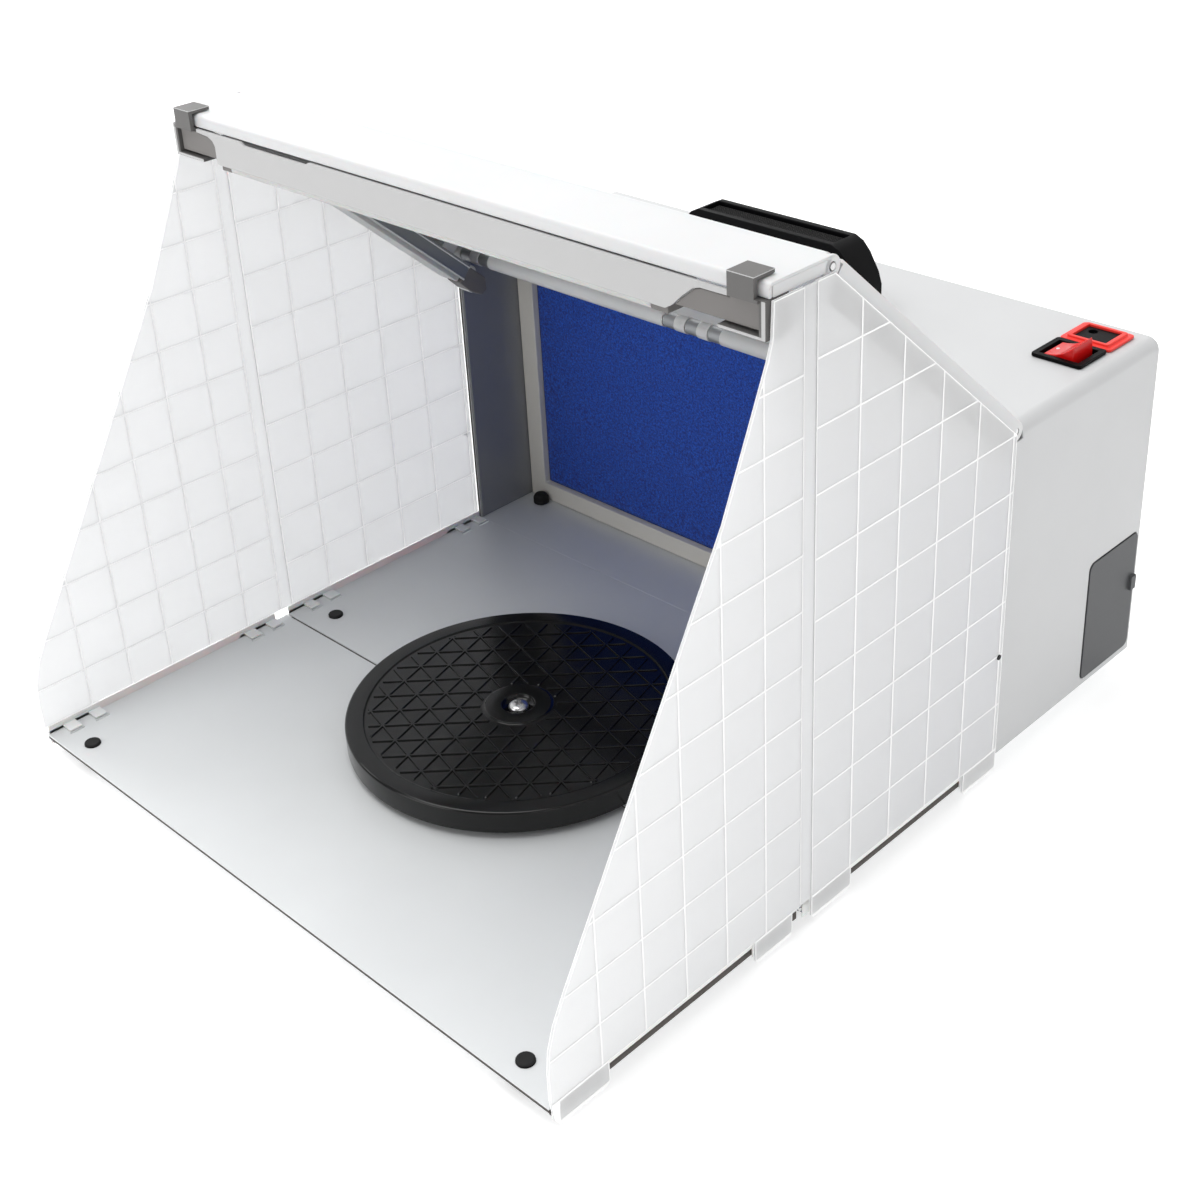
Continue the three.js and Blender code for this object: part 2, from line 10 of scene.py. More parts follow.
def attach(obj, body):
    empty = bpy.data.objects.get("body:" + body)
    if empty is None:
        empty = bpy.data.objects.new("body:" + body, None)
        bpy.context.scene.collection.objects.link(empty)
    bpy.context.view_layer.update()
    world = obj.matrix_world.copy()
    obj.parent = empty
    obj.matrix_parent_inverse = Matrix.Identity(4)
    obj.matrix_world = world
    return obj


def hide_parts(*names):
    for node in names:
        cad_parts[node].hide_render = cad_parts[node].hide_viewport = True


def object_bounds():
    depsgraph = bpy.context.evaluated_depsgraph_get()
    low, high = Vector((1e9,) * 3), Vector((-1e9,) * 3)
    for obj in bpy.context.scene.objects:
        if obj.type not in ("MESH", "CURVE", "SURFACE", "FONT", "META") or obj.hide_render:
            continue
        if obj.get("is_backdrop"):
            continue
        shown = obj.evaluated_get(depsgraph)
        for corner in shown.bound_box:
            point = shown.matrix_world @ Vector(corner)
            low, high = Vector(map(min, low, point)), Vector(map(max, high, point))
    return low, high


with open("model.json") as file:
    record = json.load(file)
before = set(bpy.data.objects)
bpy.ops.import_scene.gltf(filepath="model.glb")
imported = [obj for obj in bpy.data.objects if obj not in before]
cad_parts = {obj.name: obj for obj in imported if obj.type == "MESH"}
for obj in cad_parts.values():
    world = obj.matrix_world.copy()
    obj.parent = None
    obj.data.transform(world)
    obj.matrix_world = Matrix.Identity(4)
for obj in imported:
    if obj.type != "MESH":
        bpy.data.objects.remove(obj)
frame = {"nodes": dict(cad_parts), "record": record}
cad_box = [list(corner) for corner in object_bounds()]
nodes = frame["nodes"]
scene = bpy.context.scene

# The booth's own millimetres, as in the CAD source: X across, Y = 0 at the fan box's front
# and positive to the rear, Z = 0 on the floor's top face.
ORIGIN_Y, ORIGIN_Z = 101.5, 14
HINGE_Y, HINGE_Z = 3, 218.5
RIDGE_Y, RIDGE_Z = -166.7, 368.9
SLOPE = math.atan2(RIDGE_Z - HINGE_Z, HINGE_Y - RIDGE_Y)
COS, SIN = math.cos(SLOPE), math.sin(SLOPE)
LIP = 16.0
FOOT_HOLE = 5.25


def P(x, y, z):
    """A place in booth millimetres as metres in the shared frame."""
    return Vector((x / 1000, (y + ORIGIN_Y) / 1000, (z + ORIGIN_Z) / 1000))


def S(x, u, w):
    """A point of the sloping roof: u along the slope (0 at its hinge), w square to it."""
    return P(x, HINGE_Y + u * COS + w * SIN, HINGE_Z - u * SIN + w * COS)


# ---------------------------------------------------------------- camera
IMAGE = 1200
FOCAL = 1783.09


def camera():
    a, e, r = math.radians(45.74), math.radians(27.99), math.radians(-2.97)
    back = Vector((math.sin(a) * math.cos(e), -math.cos(a) * math.cos(e), math.sin(e)))
    right = Vector((math.cos(a), math.sin(a), 0))
    up = back.cross(right)
    right, up = right * math.cos(r) + up * math.sin(r), up * math.cos(r) - right * math.sin(r)
    data = bpy.data.cameras.new("camera")
    data.lens = FOCAL / IMAGE * data.sensor_width
    data.shift_x = -(605.29 - IMAGE / 2) / IMAGE
    data.shift_y = (487.38 - IMAGE / 2) / IMAGE
    data.clip_start = 0.02
    cam = bpy.data.objects.new("camera", data)
    turn = Matrix((right, up, back)).transposed().to_4x4()
    cam.matrix_world = Matrix.Translation(P(709.1, -782.0, 668.9)) @ turn
    scene.collection.objects.link(cam)
    scene.camera = cam


# ---------------------------------------------------------------- materials
def finish_of(name, color, rough, metallic=0.0, bump=0.08, scale=900.0, vary=0.04,
              rough_vary=0.06, cloud=14.0, stretch=(1, 1, 1), **sockets):
    """A principled finish with fine grain, slow colour variation and uneven gloss."""
    m = bpy.data.materials.new(name)
    m.use_nodes = True
    tree = m.node_tree
    tree.nodes.clear()
    new, link = tree.nodes.new, tree.links.new
    out = new("ShaderNodeOutputMaterial")
    bsdf = new("ShaderNodeBsdfPrincipled")
    link(bsdf.outputs[0], out.inputs[0])
    where = new("ShaderNodeTexCoord")
    mapping = new("ShaderNodeMapping")
    mapping.inputs["Scale"].default_value = stretch
    link(where.outputs["Object"], mapping.inputs[0])
    slow = new("ShaderNodeTexNoise")
    slow.inputs["Scale"].default_value = cloud
    slow.inputs["Detail"].default_value = 3
    link(where.outputs["Object"], slow.inputs["Vector"])
    fine = new("ShaderNodeTexNoise")
    fine.inputs["Scale"].default_value = scale
    fine.inputs["Detail"].default_value = 2
    link(mapping.outputs[0], fine.inputs["Vector"])
    mix = new("ShaderNodeMix")
    mix.data_type = "RGBA"
    mix.inputs["A"].default_value = [c * (1 - vary) for c in color] + [1]
    mix.inputs["B"].default_value = [min(1, c * (1 + vary)) for c in color] + [1]
    link(slow.outputs["Fac"], mix.inputs["Factor"])
    link(mix.outputs["Result"], bsdf.inputs["Base Color"])
    spread = new("ShaderNodeMapRange")
    spread.inputs["To Min"].default_value = max(0.02, rough - rough_vary)
    spread.inputs["To Max"].default_value = min(1, rough + rough_vary)
    link(fine.outputs["Fac"], spread.inputs["Value"])
    link(spread.outputs[0], bsdf.inputs["Roughness"])
    bsdf.inputs["Metallic"].default_value = metallic
    if bump:
        node = new("ShaderNodeBump")
        node.inputs["Strength"].default_value = bump
        node.inputs["Distance"].default_value = 0.0003
        link(fine.outputs["Fac"], node.inputs["Height"])
        link(node.outputs[0], bsdf.inputs["Normal"])
    for key, value in sockets.items():
        bsdf.inputs[key.replace("_", " ")].default_value = value
    return m


M = {
    "white": finish_of("white_powder_coat", (0.555, 0.56, 0.565), 0.42, bump=0.14, scale=1500,
                       Specular_IOR_Level=0.4),
    "floor": finish_of("grey_sheet", (0.69, 0.705, 0.71), 0.5, metallic=0.15, bump=0.03, scale=700,
                       stretch=(1, 6, 1)),
    "wall": finish_of("dark_wall", (0.26, 0.265, 0.275), 0.42, metallic=0.2, bump=0.05),
    "steel": finish_of("steel", (0.62, 0.62, 0.62), 0.28, metallic=1, bump=0.05, scale=600,
                       stretch=(8, 1, 1)),
    "zinc": finish_of("zinc", (0.34, 0.35, 0.36), 0.45, metallic=0.8, bump=0.06, cloud=60, vary=0.12),
    "roof": finish_of("roof_white", (0.63, 0.635, 0.64), 0.36, bump=0.05, Subsurface_Weight=0.1,
                      Subsurface_Scale=0.002),
    "lamp": finish_of("lamp_grey", (0.48, 0.48, 0.48), 0.42, bump=0.08, scale=1400),
    "holder": finish_of("holder_grey", (0.108, 0.105, 0.102), 0.45, bump=0.08, scale=1500),
    "cap": finish_of("cap_grey", (0.165, 0.156, 0.15), 0.5, bump=0.12, scale=1600),
    "tray": finish_of("tray_grey", (0.24, 0.25, 0.245), 0.34, metallic=0.4, bump=0.05),
    "diffuser": finish_of("diffuser", (0.66, 0.67, 0.66), 0.35, bump=0.04, Transmission_Weight=0.2,
                          Subsurface_Weight=0.3, Subsurface_Scale=0.003),
    "frame": finish_of("filter_frame", (0.76, 0.735, 0.68), 0.62, bump=0.12, scale=1100),
    "black": finish_of("black_plastic", (0.003, 0.003, 0.0035), 0.4, bump=0.08, scale=1500,
                       Specular_IOR_Level=0.06),
    "rubber": finish_of("black_rubber", (0.008, 0.008, 0.008), 0.65, bump=0.2, scale=1300,
                        Specular_IOR_Level=0.3),
    "table": finish_of("turntable_black", (0.003, 0.003, 0.003), 0.16, bump=0.03, scale=1100,
                       rough_vary=0.03, Specular_IOR_Level=0.35),
    "red": finish_of("red_bezel", (0.85, 0.04, 0.03), 0.35, bump=0.04, Specular_IOR_Level=0.3),
    "rocker": finish_of("red_rocker", (0.62, 0.006, 0.006), 0.2, bump=0.02, Specular_IOR_Level=0.3,
                        Subsurface_Weight=0.1, Subsurface_Scale=0.003),
    "door": finish_of("door_grey", (0.07, 0.0725, 0.076), 0.55, bump=0.25, scale=1300),
    "fan": finish_of("fan_grey", (0.03, 0.032, 0.035), 0.5, bump=0.1),
    "label": finish_of("switch_mark", (0.80, 0.72, 0.72), 0.5, bump=0.02),
    # painted shade: this dark brown on the floor hems and in the seam gap beside the box stands for shadow
    # under the floor's edges and in the seam
    "edge": finish_of("painted_shade_brown", (0.05, 0.04, 0.035), 0.6, bump=0.05),
    # pale grey: the side lamp knob's own colour, and a painted highlight on the thin strips along the side
    # lamp's edges
    "trim": finish_of("pale_grey_and_painted_highlight", (0.72, 0.73, 0.72), 0.35, bump=0.03),
}


def frosted(name, color, rough, through):
    """Translucent milky sheet: light comes through blurred."""
    return finish_of(name, color, rough, bump=0.12, scale=700, vary=0.015, rough_vary=0.03,
                     Transmission_Weight=through, IOR=1.3, Specular_IOR_Level=0.35,
                     Subsurface_Weight=1.0, Subsurface_Radius=(1, 1, 1), Subsurface_Scale=0.006)


M["sheet"] = frosted("frosted_sheet", (0.83, 0.838, 0.845), 0.5, 0.15)
M["rib"] = finish_of("frosted_ribs_painted_glow", (0.97, 0.97, 0.97), 0.5, bump=0.05, vary=0.01)
M["line"] = frosted("frosted_lines_painted_glow", (0.98, 0.98, 0.98), 0.4, 0.5)
# painted light: the ribs and lines glow faintly, though they are no lamp, so that they read brighter than
# the sheet
for key, painted_glow in (("rib", 0.06), ("line", 0.22)):
    shade = next(n for n in M[key].node_tree.nodes if n.type == "BSDF_PRINCIPLED")
    shade.inputs["Emission Color"].default_value = (1, 1, 1, 1)
    shade.inputs["Emission Strength"].default_value = painted_glow
M["clip"] = finish_of("clip_plastic", (0.84, 0.84, 0.83), 0.4, bump=0.04, Subsurface_Weight=0.2,
                      Subsurface_Scale=0.002)


def fibre_mat():
    """Matted blue fibre: mottled colour and a strand-like relief."""
    m = finish_of("blue_fibre", (0.012, 0.055, 0.37), 0.95, bump=0, Sheen_Weight=0.1,
                  Sheen_Roughness=0.6)
    tree = m.node_tree
    new, link = tree.nodes.new, tree.links.new
    bsdf = next(n for n in tree.nodes if n.type == "BSDF_PRINCIPLED")
    where = next(n for n in tree.nodes if n.type == "TEX_COORD")
    lumps = new("ShaderNodeTexNoise")
    lumps.inputs["Scale"].default_value = 620
    lumps.inputs["Detail"].default_value = 6
    lumps.inputs["Roughness"].default_value = 0.7
    link(where.outputs["Object"], lumps.inputs["Vector"])
    ramp = new("ShaderNodeValToRGB")
    ramp.color_ramp.elements[0].position = 0.38
    ramp.color_ramp.elements[0].color = (0.002, 0.018, 0.22, 1)
    ramp.color_ramp.elements[1].position = 0.62
    ramp.color_ramp.elements[1].color = (0.014, 0.125, 0.74, 1)
    link(lumps.outputs["Fac"], ramp.inputs[0])
    link(ramp.outputs[0], bsdf.inputs["Base Color"])
    strands = new("ShaderNodeTexNoise")
    strands.inputs["Scale"].default_value = 1500
    strands.inputs["Detail"].default_value = 4
    strands.inputs["Distortion"].default_value = 3
    link(where.outputs["Object"], strands.inputs["Vector"])
    bump = new("ShaderNodeBump")
    bump.inputs["Strength"].default_value = 0.7
    bump.inputs["Distance"].default_value = 0.0008
    link(strands.outputs["Fac"], bump.inputs["Height"])
    link(bump.outputs[0], bsdf.inputs["Normal"])
    return m


M["fibre"] = fibre_mat()


# ---------------------------------------------------------------- mesh helpers
def piece(name, bm, body, material, replaces=(), bevel=0.0, segments=2, limit=32,
          smooth=True):
    """Makes an object of bm that rides on body, with edges of limit degrees or more rounded off."""
    mesh = bpy.data.meshes.new(name)
    bmesh.ops.recalc_face_normals(bm, faces=bm.faces[:])
    bm.to_mesh(mesh)
    bm.free()
    for polygon in mesh.polygons:
        polygon.use_smooth = smooth
    obj = bpy.data.objects.new(name, mesh)
    scene.collection.objects.link(obj)
    mesh.materials.append(M[material])
    if bevel:
        mod = obj.modifiers.new("edges", "BEVEL")
        mod.width = bevel / 1000
        mod.segments = segments
        mod.limit_method = "ANGLE"
        mod.angle_limit = math.radians(limit)
        mod.use_clamp_overlap = True
    if smooth:
        weighted = obj.modifiers.new("normals", "WEIGHTED_NORMAL")
        weighted.keep_sharp = False
        weighted.weight = 100
    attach(obj, body)
    if replaces:
        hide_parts(*replaces)
    return obj


def refine(node, material, bevel, segments=2, limit=32):
    """The CAD solid with its flats merged and its edges rounded off."""
    bm = bmesh.new()
    bm.from_mesh(nodes[node].data)
    bmesh.ops.remove_doubles(bm, verts=bm.verts[:], dist=2e-6)
    bmesh.ops.dissolve_limit(bm, angle_limit=math.radians(0.4), verts=bm.verts[:], edges=bm.edges[:])
    return piece(f"{node}_finished", bm, body_of(node), material, (node,), bevel, segments, limit)


def body_of(node):
    for body, members in frame["record"]["behaviour"]["bodies"].items():
        if node in members:
            return body
    raise KeyError(node)


def inside(point, line):
    """Whether a point lies inside a closed outline."""
    x, y = point
    hit = False
    for (ax, ay), (bx, by) in zip(line, line[1:] + line[:1]):
        if (ay > y) != (by > y) and x < ax + (y - ay) / (by - ay) * (bx - ax):
            hit = not hit
    return hit


def plate(outlines, at, w0, w1, bm=None):
    """A plate from an outline and its holes; at(u, v, w) gives the place in metres."""
    bm = bm or bmesh.new()
    edges, start = [], 0
    for line in outlines:
        n = len(line)
        edges += [(start + i, start + (i + 1) % n) for i in range(n)]
        start += n
    flat = [Vector(p) for line in outlines for p in line]
    points, _, faces, *_ = delaunay_2d_cdt(flat, edges, [], 1, 1e-4)
    kept = []
    for face in faces:
        middle = sum((points[i] for i in face), Vector((0, 0))) / len(face)
        if inside(middle, outlines[0]) and not any(inside(middle, hole) for hole in outlines[1:]):
            kept.append(face)
    used = {i for face in kept for i in face}
    low = {i: bm.verts.new(at(*points[i], w0)) for i in used}
    high = {i: bm.verts.new(at(*points[i], w1)) for i in used}
    directed = {(a, b) for face in kept for a, b in zip(face, face[1:] + face[:1])}
    for face in kept:
        bm.faces.new([low[i] for i in reversed(face)])
        bm.faces.new([high[i] for i in face])
    for a, b in directed:
        if (b, a) not in directed:
            bm.faces.new([low[a], low[b], high[b], high[a]])
    return bm


def block(bm, x0, x1, y0, y1, z0, z1, at=P):
    """Adds a box to bm."""
    return plate([[(x0, y0), (x1, y0), (x1, y1), (x0, y1)]], at, z0, z1, bm)


def arc(u, v, r, start, end, steps):
    """Points on an arc from start to end degrees."""
    angles = [math.radians(start + (end - start) * i / steps) for i in range(steps + 1)]
    return [(u + r * math.cos(a), v + r * math.sin(a)) for a in angles]


def ring(u, v, r, count):
    """A circle, counter-clockwise."""
    angles = [2 * math.pi * i / count for i in range(count)]
    return [(u + r * math.cos(a), v + r * math.sin(a)) for a in angles]


def rounded(u0, u1, v0, v1, r):
    """A rectangle with round corners."""
    corners = [(u1 - r, v0 + r, -90), (u1 - r, v1 - r, 0), (u0 + r, v1 - r, 90), (u0 + r, v0 + r, 180)]
    return [p for u, v, a in corners for p in arc(u, v, r, a, a + 90, 4)]


def lathe(profile, x, y, count):
    """Turned about a vertical axis; profile is (radius, height), closed or ending on the axis."""
    bm = bmesh.new()
    rows = []
    for r, z in profile:
        if r < 1e-6:
            rows.append([bm.verts.new(P(x, y, z))])
        else:
            rows.append([bm.verts.new(P(x + a, y + b, z)) for a, b in ring(0, 0, r, count)])
    for low, high in zip(rows, rows[1:]):
        for i in range(count):
            j = (i + 1) % count
            face = [low[i % len(low)], low[j % len(low)], high[j % len(high)], high[i % len(high)]]
            unique = list(dict.fromkeys(face))
            if len(unique) > 2:
                bm.faces.new(unique)
    bmesh.ops.remove_doubles(bm, verts=bm.verts[:], dist=1e-6)
    return bm


def clip(polygon, convex):
    """The part of a polygon inside a convex one (both counter-clockwise)."""
    out = polygon
    for i in range(len(convex)):
        (ax, ay), (bx, by) = convex[i], convex[(i + 1) % len(convex)]
        side = lambda p: (bx - ax) * (p[1] - ay) - (by - ay) * (p[0] - ax)
        source, out = out, []
        for j in range(len(source)):
            p, q = source[j], source[(j + 1) % len(source)]
            sp, sq = side(p), side(q)
            if sp >= 0:
                out.append(p)
            if (sp >= 0) != (sq >= 0):
                t = sp / (sp - sq)
                out.append((p[0] + t * (q[0] - p[0]), p[1] + t * (q[1] - p[1])))
        if not out:
            return []
    return out


def area(polygon):
    """Signed area, positive when counter-clockwise."""
    pairs = zip(polygon, polygon[1:] + polygon[:1])
    return 0.5 * sum(p[0] * q[1] - q[0] * p[1] for p, q in pairs)


def inset(convex, d):
    """A convex counter-clockwise outline moved in by d."""
    n = len(convex)
    lines = []
    for i in range(n):
        (ax, ay), (bx, by) = convex[i], convex[(i + 1) % n]
        length = math.hypot(bx - ax, by - ay)
        nx, ny = -(by - ay) / length, (bx - ax) / length
        lines.append(((ax + nx * d, ay + ny * d), (bx - ax, by - ay)))
    out = []
    for i in range(n):
        (p, r), (q, s) = lines[i - 1], lines[i]
        cross = r[0] * s[1] - r[1] * s[0]
        if abs(cross) < 1e-9:
            out.append(q)
            continue
        t = ((q[0] - p[0]) * s[1] - (q[1] - p[1]) * s[0]) / cross
        out.append((p[0] + t * r[0], p[1] + t * r[1]))
    return out


camera()


# ---------------------------------------------------------------- CAD pieces with rounded edges
for node, material, width in [
    ("housing_shell", "white", 0.5), ("rear_panel", "white", 0.4), ("recess_liner", "wall", 0.3),
    ("filter_frame", "frame", 0.8), ("filter_guard", "zinc", 0.3), ("fan_shroud", "zinc", 0.3),
    ("fan_rotor", "fan", 0.4), ("fan_motor", "black", 0.5), ("outlet_duct", "black", 0.4),
    ("compartment_tray", "wall", 0.3), ("accessory_door", "door", 0.35), ("switch_bezel", "black", 0.45),
    ("socket_bezel", "red", 0.5), ("socket_insert", "black", 0.3),
    ("filter_peg_left", "rubber", 0.4), ("filter_peg_right", "rubber", 0.4),
    ("roof_hinge_rail", "zinc", 0.3), ("roof_hinge_pin", "steel", 0.3), ("ridge_pin", "steel", 0.3),
    ("floor_hinge_pin_left", "steel", 0.2), ("floor_hinge_pin_right", "steel", 0.2),
    ("foot_front_left", "rubber", 0.4), ("foot_front_right", "rubber", 0.4),
    ("foot_middle_left", "rubber", 0.4), ("foot_middle_right", "rubber", 0.4),
    ("foot_rear_left", "rubber", 0.4), ("foot_rear_right", "rubber", 0.4),
    ("roof_rear", "roof", 0.5),
    ("side_lamp_tray_left", "tray", 0.6), ("side_lamp_tray_right", "tray", 0.6),
    ("side_lamp_diffuser_left", "diffuser", 0.8), ("side_lamp_diffuser_right", "diffuser", 0.8),
    ("side_lamp_end_left", "cap", 1.2), ("side_lamp_end_right", "cap", 1.2),
    ("lamp_bar_body", "lamp", 0.6), ("lamp_bar_diffuser", "diffuser", 0.5),
    ("lamp_bar_end_left", "cap", 0.9), ("lamp_bar_end_right", "cap", 0.9),
    ("lamp_holder_left", "holder", 0.45), ("lamp_holder_right", "holder", 0.45),
    ("turntable_base", "table", 0.5), ("turntable_race", "steel", 0.3), ("turntable_pad", "rubber", 0.3),
]:
    refine(node, material, width)


# ---------------------------------------------------------------- front roof and light bar
def across(u, v, w):
    """Takes an outline in the Y-Z plane across the booth."""
    return P(w, u, v)


FLANGE_Z = 367.1
bm = plate([[(RIDGE_Y, 373.1)] + arc(-209.2, 371.9, 1.2, 90, 180, 4) + [(-210.4, FLANGE_Z), (-212, FLANGE_Z)]
            + arc(-208.8, 371.5, 3.2, 180, 90, 6) + [(RIDGE_Y, 374.7)]], across, -235, 235)
barrel = [ring(RIDGE_Y, RIDGE_Z, 5.8, 40), ring(RIDGE_Y, RIDGE_Z, 2.4, 24)[::-1]]
plate(barrel, across, -230.6, 230.6, bm)
cheek = [(-209.6, FLANGE_Z), (RIDGE_Y - 4, FLANGE_Z), (RIDGE_Y, 373.2), (-209.6, 373.2)]
for x0, x1 in ((-235, -233.1), (233.1, 235)):
    plate([cheek], across, x0, x1, bm)
    plate(barrel, across, x0, x1, bm)
piece("roof_front_sheet", bm, "front_roof", "roof", ("roof_front",), bevel=0.5, segments=3, limit=40)
for side, s in (("left", -1), ("right", 1)):
    span = lambda a, b, s=s: sorted((s * a, s * b))
    # painted highlight: light grey strips on the dark holder's front edges and over its tab top stand for
    # light catching them
    bm = block(bmesh.new(), *span(212.9, 229.1), -216.1, -200.9, 376.9, 377.35)
    block(bm, *span(232.3, 234.5), -214.75, -214.4, 347.4, 366.3)
    block(bm, *span(206.3, 232.3), -214.75, -214.4, 347.3, 348.7)
    piece(f"lamp_holder_painted_highlight_{side}", bm, "front_roof", "lamp", bevel=0.12, limit=40)
bm = block(bmesh.new(), -193.2, -184.2, -210.6, -196, 343.4, 347.3)
block(bm, 160.2, 171.5, -210.6, -196, 343.4, 347.3)
piece("lamp_bar_stops", bm, "lamp_bar", "cap", bevel=0.5, limit=40)


# ---------------------------------------------------------------- floor panels
FLOOR_X = 234
HEM = 2
CROSS_HEM_Z, SIDE_HEM_Z = -3, -6.5


def floor_panel(name, node, body, y0, y1, slots, feet, cross_hems, side_hems):
    """A folded floor panel: its sheet, and the hems under its edges in a dark brown that paints the shade
    under them.
    """
    outline = [(-FLOOR_X, y0), (FLOOR_X, y0), (FLOOR_X, y1), (-FLOOR_X, y1)]
    holes = [[(a, c), (a, d), (b, d), (b, c)] for a, b, c, d in slots]
    holes += [ring(u, v, FOOT_HOLE, 28)[::-1] for u, v in feet]
    piece(name, plate([outline] + holes, P, -1.3, 0), body, "floor", (node,), bevel=0.25, limit=40)
    bm = bmesh.new()
    for x, y in cross_hems:
        block(bm, -x, x, y, y + HEM, CROSS_HEM_Z, -1.32)
    for a, b in ((-FLOOR_X, HEM - FLOOR_X), (FLOOR_X - HEM, FLOOR_X)):
        block(bm, a, b, *side_hems, SIDE_HEM_Z, -1.32)
    # the hem colour is painted shade, the dark under the floor's edges
    piece(f"{name}_hem", bm, body, "edge")


TONGUES = {
    "rear": [(-172, -164), (-155, -146), (-27, -19), (-10, -2)],
    "front": [(-368, -359), (-349, -340.5), (-224, -215), (-206, -197.5)],
}


def tongue_slots(end):
    """A narrow slot at the inner end of each tongue, on both sides of the floor."""
    out = []
    for s in (-1, 1):
        for y0, y1 in TONGUES[end]:
            a, b = sorted((s * 224.4, s * 223.2))
            out.append((a, b, y0 - 0.8, y1 + 0.8))
    return out


floor_panel("floor_front_sheet", "floor_front", "front_floor", -379, -187.6, tongue_slots("front"),
            [(-203, -365), (203, -365)], [(FLOOR_X, -379), (228, -189.9)], (-377.2, -189.4))
floor_panel("floor_rear_sheet", "floor_rear", "fan_box", -185.7, -0.4, tongue_slots("rear"),
            [(-206, -165), (206, -165)], [(FLOOR_X, -185.7)], (-183.9, -0.4))
inner = [(-233, -0.3), (233, -0.3), (233, 158), (-233, 158)]
bm = plate([inner] + [ring(x, 140, FOOT_HOLE, 28)[::-1] for x in (-188, 188)], P, -1.4, 0)
block(bm, -233, 233, 154, 158, -3, -1.2)
piece("floor_inside_box", bm, "fan_box", "floor", (), bevel=0.25, limit=40)


# ---------------------------------------------------------------- filter mat
def filter_mat():
    """The mat's lumpy face, bulging between its edges, with plain sides and back."""
    bm = bmesh.new()
    nx, nz = 216, 92
    x0, x1, z0, z1, front, back = -215.1, 215.1, 14.6, 198.4, 57.4, 73
    grid = []
    for i in range(nx + 1):
        column = []
        for k in range(nz + 1):
            x, z = x0 + (x1 - x0) * i / nx, z0 + (z1 - z0) * k / nz
            edge = min(x - x0, x1 - x, z - z0, z1 - z)
            puff = 1.8 * (1 - math.exp(-edge / 9))
            lump = noise.fractal(Vector((x, 7, z)) * 0.02, 1.0, 2.0, 3) * 0.5
            fuzz = noise.fractal(Vector((x, 3, z)) * 0.3, 0.9, 2.1, 4) * 0.25
            column.append(bm.verts.new(P(x, front + 0.9 - puff + (lump + fuzz) * min(1, edge / 3), z)))
        grid.append(column)
    for i in range(nx):
        for k in range(nz):
            bm.faces.new([grid[i][k], grid[i + 1][k], grid[i + 1][k + 1], grid[i][k + 1]])
    border = [e for e in bm.edges if e.is_boundary]
    made = bmesh.ops.extrude_edge_only(bm, edges=border)["geom"]
    for v in made:
        if isinstance(v, bmesh.types.BMVert):
            v.co.y = (back + ORIGIN_Y) / 1000
    bmesh.ops.holes_fill(bm, edges=[e for e in bm.edges if e.is_boundary])
    return piece("filter_mat", bm, "fan_box", "fibre", ("filter_pad",))


filter_mat()


# ---------------------------------------------------------------- side screens
SHEET_FOOT = 4.4
TAB_SHOULDER, TAB_FOOT = -9, -11
REAR_FOLD, FRONT_FOLD, REAR_END = -180.3, -189.8, -0.6
ROOF_GAP = 2.8


def tab(y0, y1):
    """Outline of a tab that hangs over the floor's edge."""
    return [(y0, SHEET_FOOT), (y0, TAB_SHOULDER), (y0 + 2, TAB_FOOT), (y1 - 2, TAB_FOOT),
            (y1, TAB_SHOULDER), (y1, SHEET_FOOT)]


def rear_top(y):
    """The rear screen's upper edge, under the sloping roof."""
    return HINGE_Z + math.tan(SLOPE) * (HINGE_Y - y) - ROOF_GAP


FLAT_TOP = 366.6
RIDGE_FOOT = HINGE_Y - (FLAT_TOP + ROOF_GAP - HINGE_Z) / math.tan(SLOPE)
REAR_TOP = [(REAR_END, rear_top(REAR_END)), (RIDGE_FOOT, FLAT_TOP), (REAR_FOLD, FLAT_TOP)]
REAR = [(REAR_FOLD, SHEET_FOOT), *tab(-180.2, -145), *tab(-35, REAR_END)[:5], *REAR_TOP]
LEADING_EDGE = [
    (-380, 25), (-378.4, 39), (-374, 52), (-365, 68.5), (-328, 131), (-288, 199.5), (-248, 268),
    (-226, 316), (-216, 338), (-212.6, 348), (-211.6, FLAT_TOP),
]
FRONT = [
    (-378.4, -6), (-375, TAB_FOOT), (-342, TAB_FOOT), (-340, TAB_SHOULDER), (-340, SHEET_FOOT),
    *tab(-228, -197), (FRONT_FOLD, SHEET_FOOT), (FRONT_FOLD, FLAT_TOP), *LEADING_EDGE[::-1], (-380, 8),
]
COLUMNS = {"rear": [-146, -110.5, -75, -39.5, -4], "front": [-219, -250.5, -282, -313, -344.5]}
ROWS = {"rear": [327.8 - 36.2 * k for k in range(9)], "front": [323.1 - 32.3 * k for k in range(10)]}
BORDER = 0.5


def leading_edge(z):
    """The front screen's sloping edge at height z."""
    line = [(-380, 0)] + LEADING_EDGE
    for (y0, z0), (y1, z1) in zip(line, line[1:]):
        if z <= z1:
            return y0 + (y1 - y0) * (z - z0) / (z1 - z0)
    return line[-1][0]


